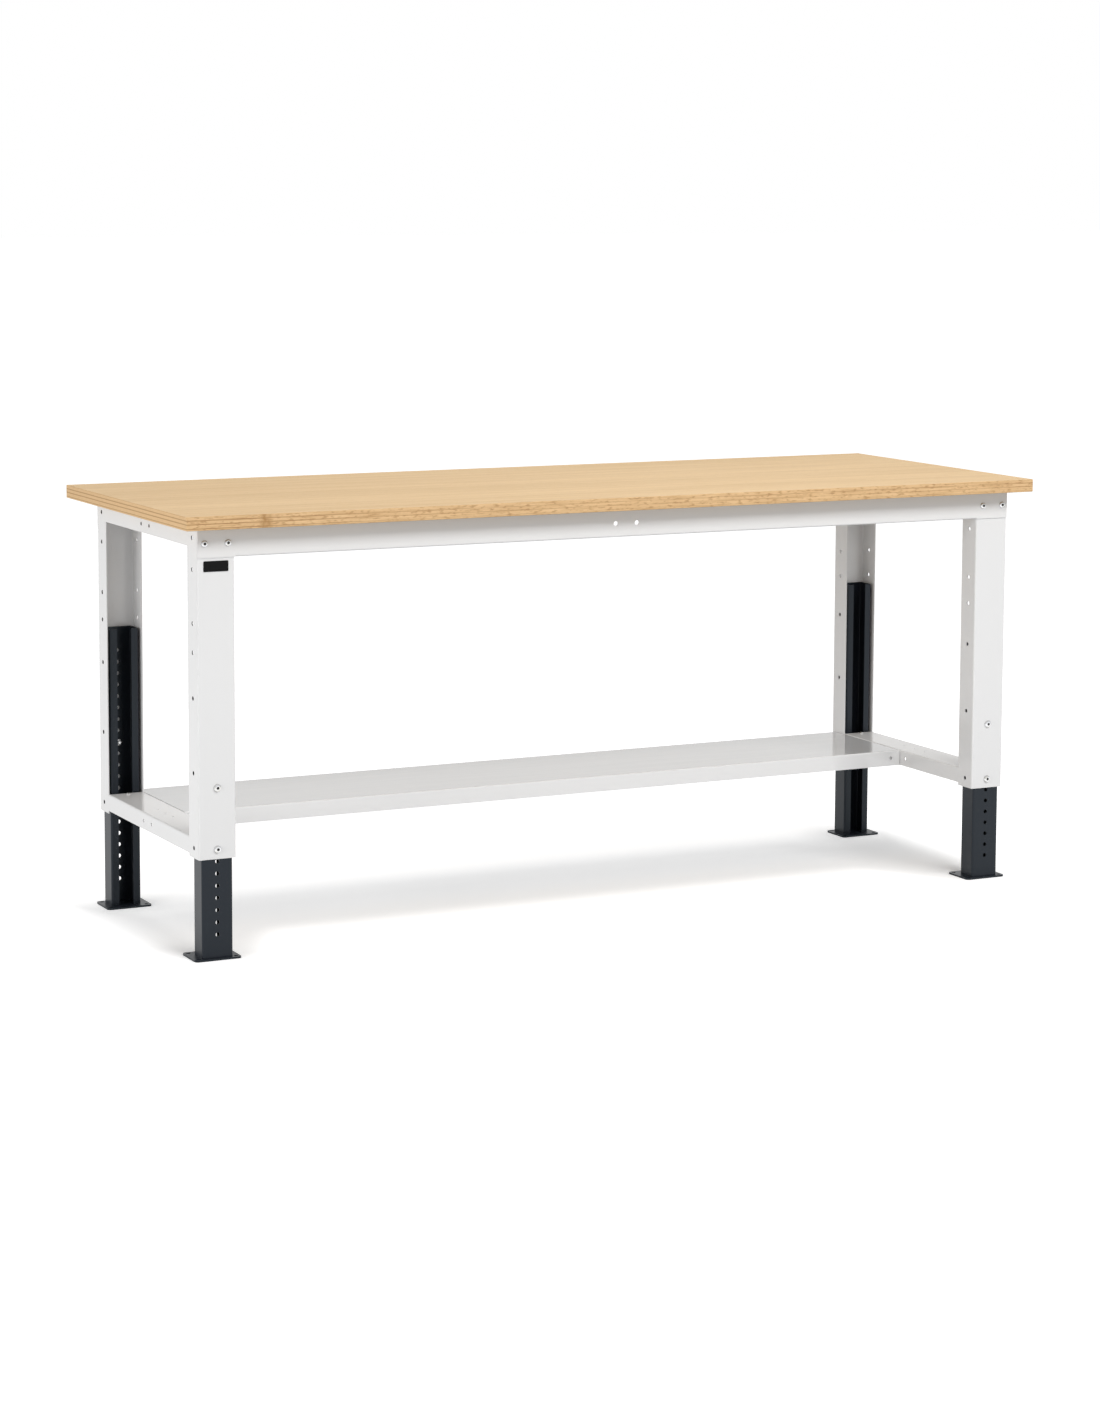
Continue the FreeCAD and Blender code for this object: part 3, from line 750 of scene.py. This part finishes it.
@dataclass
class MachineScrews:
    """Button-head screws with hexagon sockets and rolled threads: all those of one CAD node."""

    node: str
    thread: Thread
    head: float
    dome_share: float = 0.8
    dome_steps: int = 6
    countersink_share: float = 1 / 16
    rim_share: float = 0.999
    depth_share: float = 0.61
    root_share: float = 0.46
    crest_share: float = 0.07
    thread_steps: int = 24

    def build(self, plating: bpy.types.Material, recess: bpy.types.Material) -> bpy.types.Object:
        """Models one screw and sets a copy on every seat of the node.

        Args:
            plating: The finish outside.
            recess: The painted shade of the socket.

        Returns:
            The node's screws as one piece.
        """
        screw = self.turn_body()
        self.dress(screw, plating, recess)
        self.wind_thread(screw)
        middle = (self.thread.head_height - self.thread.length) / 2
        screw.data.transform(Matrix.Translation((0.0, 0.0, -middle)))
        return set_copies(screw, self.node, find_seats(self.node, max))

    def turn_body(self) -> bpy.types.Object:
        """Turns the core, the domed head and its socket.

        Returns:
            The body, with the underside of its head at height 0.
        """
        size = self.thread
        core = size.shank / 2 - self.depth_share * size.pitch
        lead = size.pitch / 2
        body = Turning(self.node, core - lead, -size.length, filled=True)
        body.draw(core, lead - size.length)
        body.draw(core, -size.pitch)
        body.draw(size.shank / 2, -lead)
        body.draw(size.shank / 2, 0.0)
        body.draw(self.head / 2, 0.0)
        dome = self.dome_share * size.head_height
        for step in range(self.dome_steps + 1):
            turn = math.pi / 2 * step / self.dome_steps
            inward = dome * (1.0 - math.cos(turn))
            body.draw(self.head / 2 - inward, size.head_height - dome * (1.0 - math.sin(turn)))
        corner = size.socket / math.sqrt(3.0)
        countersink = self.countersink_share * size.socket
        floor = size.head_height - size.socket_depth
        body.draw(corner + countersink / 2, size.head_height)
        body.draw(size.socket / 2, size.head_height - countersink, Ring.HEXAGON)
        body.draw(size.socket / 2, floor, Ring.HEXAGON)
        body.draw(countersink, floor - countersink)
        return body.finish()

    def dress(self, screw: bpy.types.Object, plating: bpy.types.Material,
              recess: bpy.types.Material) -> None:
        """Gives the screw its plating and its socket the dark finish.

        Args:
            screw: The screw's body.
            plating: The finish outside.
            recess: The painted shade of the socket.
        """
        screw.data.materials.append(plating)
        screw.data.materials.append(recess)
        reach = self.head / 2 - self.dome_share * self.thread.head_height
        rim = self.rim_share * self.thread.head_height
        for face in screw.data.polygons:
            # Faces inside the socket get the painted shade.
            inside = face.center.xy.length < reach and 0.0 < face.center.z < rim
            face.material_index = 1 if inside else 0

    def wind_thread(self, screw: bpy.types.Object) -> None:
        """Winds the thread's ridge round the core and joins it to the screw.

        Args:
            screw: The screw's body.
        """
        size = self.thread
        bpy.ops.object.select_all(action="DESELECT")
        bpy.ops.mesh.primitive_plane_add(size=1.0)
        ridge = bpy.context.object
        bpy.ops.object.mode_set(mode="EDIT")
        bpy.ops.mesh.delete(type="ONLY_FACE")
        bpy.ops.object.mode_set(mode="OBJECT")
        crest = size.shank / 2
        root = crest - 2 * self.depth_share * size.pitch
        start = (self.root_share - 1.0) * size.pitch / 2 + size.pitch - size.length
        outline = ((root, -self.root_share), (crest, -self.crest_share),
                   (root, self.root_share), (crest, self.crest_share))
        for corner, (out, up) in zip(ridge.data.vertices, outline):
            corner.co = (out, 0.0, start + up * size.pitch)
        winding = ridge.modifiers.new("winding", "SCREW")
        winding.screw_offset = size.pitch
        winding.iterations = int(size.length / size.pitch) - 2
        winding.steps = self.thread_steps
        winding.render_steps = self.thread_steps
        bpy.ops.object.modifier_apply(modifier=winding.name)
        bpy.ops.object.mode_set(mode="EDIT")
        bpy.ops.mesh.select_mode(type="VERT")
        bpy.ops.mesh.select_all(action="SELECT")
        bpy.ops.mesh.fill_holes(sides=len(outline))
        close_shell()
        screw.select_set(True)
        bpy.context.view_layer.objects.active = screw
        bpy.ops.object.join()
        bpy.ops.object.shade_smooth_by_angle(angle=SMOOTH_ANGLE)


@dataclass
class HexagonNuts:
    """Hexagon nuts with chamfered corners and bores: all those of one CAD node."""

    node: str
    thread: Thread
    face_share: float = 0.95
    lead_share: float = 0.07
    chamfer: float = math.radians(30.0)

    def build(self, plating: bpy.types.Material) -> bpy.types.Object:
        """Models one nut and sets a copy on every seat of the node.

        Args:
            plating: The finish.

        Returns:
            The node's nuts as one piece.
        """
        nut = self.turn_nut()
        nut.data.materials.append(plating)
        return set_copies(nut, self.node, find_seats(self.node, min))

    def turn_nut(self) -> bpy.types.Object:
        """Draws the nut's outline round from its bore and back into it.

        Returns:
            The nut, around the origin.
        """
        half = self.thread.nut_width / 2
        top = self.thread.nut_height / 2
        hole = self.thread.nut_bore / 2
        lead = self.lead_share * self.thread.nut_bore
        rim = self.face_share * half
        slope = math.tan(self.chamfer)
        shoulder = top - (half - rim) * slope
        nut = Turning(self.node, hole, lead - top, filled=False)
        nut.draw(hole + lead, -top)
        nut.draw(rim, -top)
        nut.draw(half, -shoulder, Ring.HEXAGON, slope)
        nut.draw(half, shoulder, Ring.HEXAGON, -slope)
        nut.draw(rim, top)
        nut.draw(hole + lead, top)
        nut.draw(hole, top - lead)
        nut.draw(hole, lead - top)
        return nut.finish()


@dataclass
class Fasteners:
    """The screws and nuts that hold the bench together."""

    frame_body: str = "frame"
    slot: str = "zinc_steel"
    wood_screws: str = "worktop_screws"
    large: Thread = Thread(shank=0.008, pitch=0.00125, length=0.016, head_height=0.0044, socket=0.005,
                           socket_depth=0.003, nut_width=0.013, nut_height=0.0065, nut_bore=0.0081)
    small: Thread = Thread(shank=0.006, pitch=0.001, length=0.012, head_height=0.0033, socket=0.004,
                           socket_depth=0.002, nut_width=0.010, nut_height=0.005, nut_bore=0.0061)
    beam_head: float = 0.014
    lock_head: float = 0.016
    small_head: float = 0.0105

    def build(self) -> None:
        """Models the machine screws and nuts, and dresses the wood screws."""
        plating = ZincPlate().make()
        # The sockets' painted shade.
        recess = SocketShade().make()
        kinds = (("beam", self.large, self.beam_head), ("leg_lock", self.large, self.lock_head),
                 ("rail", self.small, self.small_head), ("shelf", self.small, self.small_head))
        for kind, thread, head in kinds:
            screws = MachineScrews(f"{kind}_screws", thread, head)
            self.fit(screws.build(plating, recess), screws.node)
            nuts = HexagonNuts(f"{kind}_nuts", thread)
            self.fit(nuts.build(plating), nuts.node)
        paint([self.wood_screws], plating)

    def fit(self, piece: bpy.types.Object, node: str) -> None:
        """Lets a piece ride on the frame in place of its CAD node.

        Args:
            piece: The piece.
            node: The node.
        """
        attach(piece, self.frame_body)
        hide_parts(node)
        LOG.info("%s: %d faces", piece.name, len(piece.data.polygons))


@dataclass
class BlankPlate:
    """The blank black plate under the beam's end on the front left leg."""

    leg: str = "outer_leg_front_left"
    beam: str = "front_beam"
    width: float = 0.053
    height: float = 0.0215
    thickness: float = 0.0009
    drop: float = 0.0065
    corner: float = 0.0022
    rim: float = 0.0007
    rim_height: float = 0.0002
    corner_segments: int = 6
    coat: PowderCoat = PowderCoat("black_plate", (0.0045, 0.0045, 0.0045), 0.34, specular=0.1,
                                  peel=Cloud((900.0, 900.0, 900.0)))

    def build(self) -> bpy.types.Object:
        """Models the plate on the leg's front.

        Returns:
            The plate.
        """
        low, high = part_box(self.leg)
        beam_low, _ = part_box(self.beam)
        top = beam_low.z - self.drop
        middle = Vector(((low.x + high.x) / 2, low.y - self.thickness / 2, top - self.height / 2))
        bpy.ops.object.select_all(action="DESELECT")
        bpy.ops.mesh.primitive_cube_add(size=1.0, location=middle)
        plate = bpy.context.object
        plate.name = "blank_plate"
        plate.scale = (self.width, self.thickness, self.height)
        bpy.ops.object.transform_apply(location=True, rotation=False, scale=True)
        pick_edges(plate, Axis.DEPTH)
        bpy.ops.mesh.bevel(offset=self.corner, segments=self.corner_segments, affect="EDGES")
        bpy.ops.object.mode_set(mode="OBJECT")
        pick_faces(plate, Axis.DEPTH, low.y - self.thickness)
        bpy.ops.mesh.inset(thickness=self.rim)
        bpy.ops.transform.translate(value=(0.0, self.rim_height, 0.0))
        bpy.ops.object.mode_set(mode="OBJECT")
        return plate

    def dress(self, plate: bpy.types.Object) -> None:
        """Gives the plate a satin black face and lets it move with the frame.

        Args:
            plate: The plate.
        """
        plate.data.materials.append(self.coat.make())
        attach(plate, "frame")
        LOG.info("%s: %s", plate.name, self.coat.name)


@dataclass(frozen=True)
class Lamp:
    """One soft lamp: where it stands, what it faces, its width and height, and its watts."""

    name: str
    place: Triple
    target: Triple
    size: Pair
    power: float

    def add(self) -> None:
        """Adds the lamp, unseen by the camera and by mirrors."""
        light = bpy.data.lights.new(self.name, "AREA")
        light.shape = "RECTANGLE"
        light.size, light.size_y = self.size
        light.energy = self.power
        lamp = bpy.data.objects.new(self.name, light)
        bpy.context.scene.collection.objects.link(lamp)
        away = Vector(self.place) - Vector(self.target)
        turn = away.to_track_quat("Z", "Y").to_matrix().to_4x4()
        lamp.matrix_world = Matrix.Translation(self.place) @ turn
        lamp.visible_camera = False
        lamp.visible_glossy = False


@dataclass
class Studio:
    """A pale floor, a white surround, soft lamps and the photograph's camera."""

    floor_size: float = 120.0
    floor_body: str = "leg_front_left"
    floor_bounce: Triple = (0.50, 0.50, 0.50)
    floor_lift: Pair = (0.09, 0.6)
    shade_ends: Pair = (0.7, 0.88)
    shade_middle: Pair = (0.03, -0.07)
    shade_spread: Pair = (1.0, 0.6)
    shade_depth: Pair = (0.08, 0.28)
    shade_length: Pair = (0.92, 1.08)
    ambient: float = 0.5
    lamps: tuple[Lamp, ...] = (
        Lamp("overhead_softbox", (0.0, 0.0, 3.4), (0.0, 0.0, 0.0), (2.6, 1.4), 10.0),
        Lamp("front_softbox", (1.0, -4.0, 4.0), (0.2, -0.35, 0.6), (3.4, 1.6), 165.0),
        Lamp("left_softbox", (-4.6, -0.9, 0.9), (0.0, 0.0, 0.6), (3.0, 1.4), 62.0),
    )
    camera_place: Triple = (-3.3199, -6.6130, 1.6036)
    camera_heading: float = 26.540
    camera_dip: float = 6.382
    camera_roll: float = 0.260
    focal_pixels: float = 3389.6
    frame_pixels: int = 1422
    sensor: float = 36.0
    shift_share: float = -0.12

    def build(self) -> None:
        """Builds the floor, the surround, the lamps and the camera."""
        self.build_floor()
        self.build_surround()
        for lamp in self.lamps:
            lamp.add()
        self.add_camera()

    def build_floor(self) -> None:
        """Lays the floor, which moves with the front left foot and so stays under it."""
        bpy.ops.object.select_all(action="DESELECT")
        bpy.ops.mesh.primitive_plane_add(size=self.floor_size)
        floor = bpy.context.object
        floor.name = "floor"
        floor.data.materials.append(self.floor_paint())
        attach(floor, self.floor_body)

    def floor_paint(self) -> bpy.types.Material:
        """Makes the pale floor, which looks whiter than the light that it throws back on the bench.

        Returns:
            The material.
        """
        material = bpy.data.materials.new("pale_floor")
        material.use_nodes = True
        material.node_tree.nodes.clear()
        nodes = Nodes(material.node_tree)
        glow = nodes.add("Emission", Strength=self.floor_glow(nodes)).outputs[0]
        white = nodes.add("BsdfDiffuse", WHITE).outputs[0]
        shown = nodes.add("AddShader", white, glow).outputs[0]
        bounce = nodes.add("BsdfDiffuse", self.floor_bounce).outputs[0]
        mixed = nodes.add("MixShader", nodes.seen(), bounce, shown).outputs[0]
        nodes.add("OutputMaterial", mixed)
        return material

    def floor_glow(self, nodes: Nodes) -> Socket:
        """Works out the painted glow that lifts the floor to white, which is least in a shaped patch of
        shade under the bench, so the lamps' shadows show only there.

        Args:
            nodes: The floor's nodes.

        Returns:
            The lift.
        """
        spot = nodes.add("SeparateXYZ", nodes.add("TexCoord").outputs["Object"]).outputs
        along = nodes.maths("ABSOLUTE", spot["X"])
        middle = nodes.span(along, self.shade_ends, self.shade_middle, soft=True)
        spread = nodes.span(along, self.shade_ends, self.shade_spread, soft=True)
        off_middle = nodes.maths("ABSOLUTE", nodes.maths("SUBTRACT", spot["Y"], middle))
        across = nodes.maths("MULTIPLY", off_middle, spread)
        deep_lift = nodes.span(across, self.shade_depth, self.floor_lift, soft=True)
        long_lift = nodes.span(along, self.shade_length, self.floor_lift, soft=True)
        return nodes.maths("MAXIMUM", deep_lift, long_lift)

    def build_surround(self) -> None:
        """Sets the white surround that lights the bench softly from all sides."""
        scene = bpy.context.scene
        scene.view_settings.view_transform = "Standard"
        scene.world = bpy.data.worlds.new("white_surround")
        scene.world.use_nodes = True
        scene.world.node_tree.nodes.clear()
        nodes = Nodes(scene.world.node_tree)
        glow = nodes.add("Background", WHITE, self.ambient).outputs[0]
        white = nodes.add("Background", WHITE, 1.0).outputs[0]
        mixed = nodes.add("MixShader", nodes.seen(), glow, white).outputs[0]
        nodes.add("OutputWorld", mixed)

    def add_camera(self) -> None:
        """Sets up the photograph's view."""
        data = bpy.data.cameras.new("photo_camera")
        data.sensor_width = self.sensor
        data.lens = self.focal_pixels * self.sensor / self.frame_pixels
        data.shift_y = self.shift_share
        data.clip_end = 2 * self.floor_size
        camera = bpy.data.objects.new("photo_camera", data)
        bpy.context.scene.collection.objects.link(camera)
        heading = Matrix.Rotation(math.radians(-self.camera_heading), 4, "Z")
        dip = Matrix.Rotation(math.radians(90.0 - self.camera_dip), 4, "X")
        roll = Matrix.Rotation(math.radians(self.camera_roll), 4, "Z")
        camera.matrix_world = Matrix.Translation(self.camera_place) @ heading @ dip @ roll
        bpy.context.scene.camera = camera


@dataclass(frozen=True)
class Seat:
    """Where one fastener sits: its middle, and the direction that its head points in."""

    middle: Vector
    direction: Vector


def find_leader(spot: Triple, leaders: dict[Triple, Triple]) -> Triple:
    """Finds the point that stands for a point's solid.

    Args:
        spot: The point.
        leaders: For each point, one of the same solid that is nearer to the leading one.

    Returns:
        The solid's leading point.
    """
    while leaders[spot] != spot:
        leaders[spot] = leaders[leaders[spot]]
        spot = leaders[spot]
    return spot


def split_solids(node: str, digits: int = 6) -> list[list[Vector]]:
    """Splits a CAD node's points into its separate solids.

    Args:
        node: The node.
        digits: Decimal places to which points of one place agree.

    Returns:
        The points of each solid.
    """
    mesh = frame["nodes"][node].data
    leaders: dict[Triple, Triple] = {}
    for face in mesh.polygons:
        spots = [mesh.vertices[number].co.to_tuple(digits) for number in face.vertices]
        for spot in spots:
            leaders.setdefault(spot, spot)
            leaders[find_leader(spot, leaders)] = find_leader(spots[0], leaders)
    solids: dict[Triple, list[Vector]] = {}
    for spot in leaders:
        solids.setdefault(find_leader(spot, leaders), []).append(Vector(spot))
    return list(solids.values())


def find_seats(node: str, choose: Callable[..., Axis]) -> list[Seat]:
    """Finds where a CAD node's fasteners sit.

    Args:
        node: The node.
        choose: Picks the axis from the fastener's three sizes: max for a screw, min for a nut.

    Returns:
        A seat for each fastener.
    """
    seats = []
    for points in split_solids(node):
        low = Vector(tuple(map(min, zip(*points))))
        high = Vector(tuple(map(max, zip(*points))))
        middle = (low + high) / 2
        size = high - low
        along = choose(Axis, key=lambda axis: size[axis.value]).value
        axis = Vector((0.0, 0.0, 0.0))
        axis[along] = 1.0
        widest = max(points, key=lambda point: (point - middle).cross(axis).length)
        seats.append(Seat(middle, axis if widest[along] > middle[along] else -axis))
    return seats


def set_copies(pattern: bpy.types.Object, name: str, seats: list[Seat]) -> bpy.types.Object:
    """Sets a copy of a fastener on each seat, every one with its own mesh, and joins them.

    Args:
        pattern: The fastener, around the origin with its head up, which is used up.
        name: The CAD node that the joined piece is named after.
        seats: The seats.

    Returns:
        The joined piece.
    """
    up = Vector((0.0, 0.0, 1.0))
    bpy.ops.object.select_all(action="DESELECT")
    for seat in seats:
        copy = pattern.copy()
        copy.data = pattern.data.copy()
        bpy.context.scene.collection.objects.link(copy)
        turn = up.rotation_difference(seat.direction).to_matrix().to_4x4()
        copy.data.transform(Matrix.Translation(seat.middle) @ turn)
        copy.select_set(True)
        bpy.context.view_layer.objects.active = copy
    bpy.data.objects.remove(pattern)
    bpy.ops.object.join()
    piece = bpy.context.object
    piece.name = f"modelled_{name}"
    return piece


def close_shell(slack: float = 0.000001) -> None:
    """Merges a mesh's doubles, turns its faces outwards and leaves edit mode.

    Args:
        slack: How far apart doubles may lie.
    """
    bpy.ops.mesh.select_all(action="SELECT")
    bpy.ops.mesh.remove_doubles(threshold=slack)
    bpy.ops.mesh.normals_make_consistent(inside=False)
    bpy.ops.object.mode_set(mode="OBJECT")


def nodes_called(*prefixes: str) -> list[str]:
    """Lists the CAD nodes whose names start with one of the prefixes."""
    return [name for name in frame["nodes"] if name.startswith(prefixes)]


def paint(names: list[str], material: bpy.types.Material) -> None:
    """Gives CAD nodes a material in place of their own.

    Args:
        names: The nodes.
        material: The material.
    """
    for name in names:
        materials = frame["nodes"][name].data.materials
        materials.clear()
        materials.append(material)
        LOG.info("%s: %s", name, material.name)


def pick_edges(piece: bpy.types.Object, axis: Axis, along_share: float = 0.999) -> None:
    """Enters edit mode with only the edges along one axis selected.

    Args:
        piece: The piece, which is the active object.
        axis: The axis.
        along_share: The least share of an edge's length that has to lie along it.
    """
    bpy.ops.object.mode_set(mode="EDIT")
    bpy.ops.mesh.select_mode(type="EDGE")
    bpy.ops.mesh.select_all(action="DESELECT")
    bpy.ops.object.mode_set(mode="OBJECT")
    mesh = piece.data
    for edge in mesh.edges:
        first, second = (mesh.vertices[number].co for number in edge.vertices)
        run = second - first
        edge.select = abs(run[axis.value]) > along_share * run.length
    bpy.ops.object.mode_set(mode="EDIT")


def pick_faces(piece: bpy.types.Object, axis: Axis, level: float, slack: float = 0.00001) -> None:
    """Enters edit mode with only the faces at one level along an axis selected.

    Args:
        piece: The piece, which is the active object.
        axis: The axis.
        level: The faces' place along it.
        slack: How far off the level a face may lie.
    """
    bpy.ops.object.mode_set(mode="EDIT")
    bpy.ops.mesh.select_mode(type="FACE")
    bpy.ops.mesh.select_all(action="DESELECT")
    bpy.ops.object.mode_set(mode="OBJECT")
    for face in piece.data.polygons:
        face.select = abs(face.center[axis.value] - level) < slack
    bpy.ops.object.mode_set(mode="EDIT")


def main() -> None:
    """Dresses the bench piece by piece and sets up the studio."""
    logging.basicConfig(level=logging.INFO, format="%(name)s %(message)s")
    for group in (Worktop(), SteelFrame(), Shelf(), TelescopicLegs()):
        group.dress()
    Fasteners().build()
    plate = BlankPlate()
    plate.dress(plate.build())
    Studio().build()


if __name__ == "__main__":
    main()
